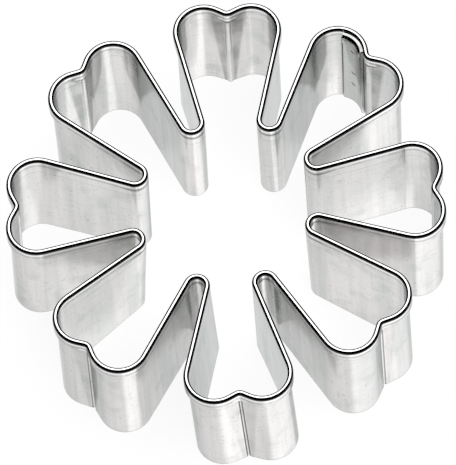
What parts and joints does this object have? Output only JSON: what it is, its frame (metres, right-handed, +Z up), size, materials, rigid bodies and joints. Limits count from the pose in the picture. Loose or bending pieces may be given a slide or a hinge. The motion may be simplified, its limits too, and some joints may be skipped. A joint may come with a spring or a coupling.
{
  "type": "cookie cutter",
  "caption": "Blossom cookie cutter bent from one steel strip: heart-ended petals, deep V folds, a hemmed rim on top and a plain cutting edge below.",
  "frame": {"origin": "middle of the footprint across the petals, level with the cutting edge that the cutter stands on", "axes": "+Z up, from the cutting edge to the rolled rim; +Y towards the back petal; +X towards the right petal"},
  "size_m": [0.0704, 0.072, 0.022],
  "materials": {
    "strip_steel": "satin",
    "weld_steel": "satin, dented by the electrodes"
  },
  "bodies": {
    "root": {"band": "strip_steel", "weld_spots": "weld_steel"}
  },
  "joints": []
}
